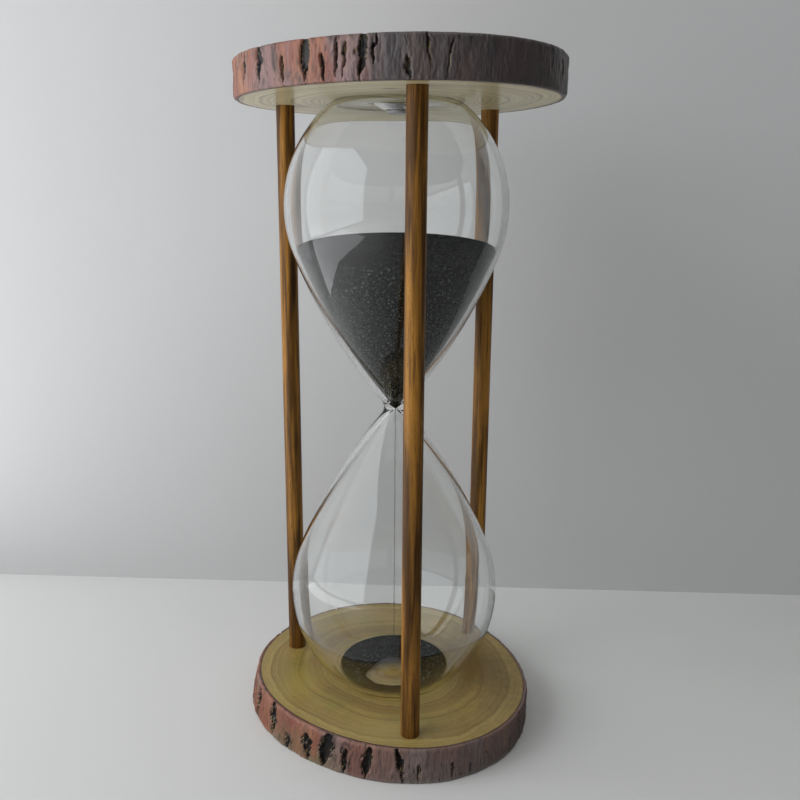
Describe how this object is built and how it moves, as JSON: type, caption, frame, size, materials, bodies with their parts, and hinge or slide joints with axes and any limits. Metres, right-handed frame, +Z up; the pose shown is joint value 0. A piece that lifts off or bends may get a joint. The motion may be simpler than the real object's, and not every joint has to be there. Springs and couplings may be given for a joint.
{
  "type": "hourglass",
  "caption": "Hourglass with live-edge wood slices at both ends, round dowels between them and a blown glass vessel of black sand that turns in its seats.",
  "frame": {"origin": "on the axis of the glass vessel, on the underside of the base slice", "axes": "+Z up along the axis of the glass vessel, -Y towards the front dowel's side"},
  "size_m": [0.1627, 0.1621, 0.344],
  "materials": {
    "end_grain": "lacquered end grain",
    "bark": "furrowed bark, lacquered",
    "stained_dowel": "stained, satin",
    "clear_glass": "clear, polished",
    "stopper": "matte",
    "black_sand": "fine grains, matte"
  },
  "bodies": {
    "frame": {"base_wood": "end_grain", "top_wood": "end_grain", "base_bark": "bark", "top_bark": "bark", "front_post": "stained_dowel", "right_post": "stained_dowel", "left_post": "stained_dowel"},
    "vessel": {"glass_vessel": "clear_glass", "fill_plug": "stopper", "upper_sand": "black_sand", "sand_stream": "black_sand", "lower_sand": "black_sand"}
  },
  "joints": [
    {"name": "vessel_turn", "type": "hinge", "parent": "frame", "child": "vessel", "pos_m": [0, 0, 0.172], "axis": [0, 0, 1], "continuous": true}
  ]
}
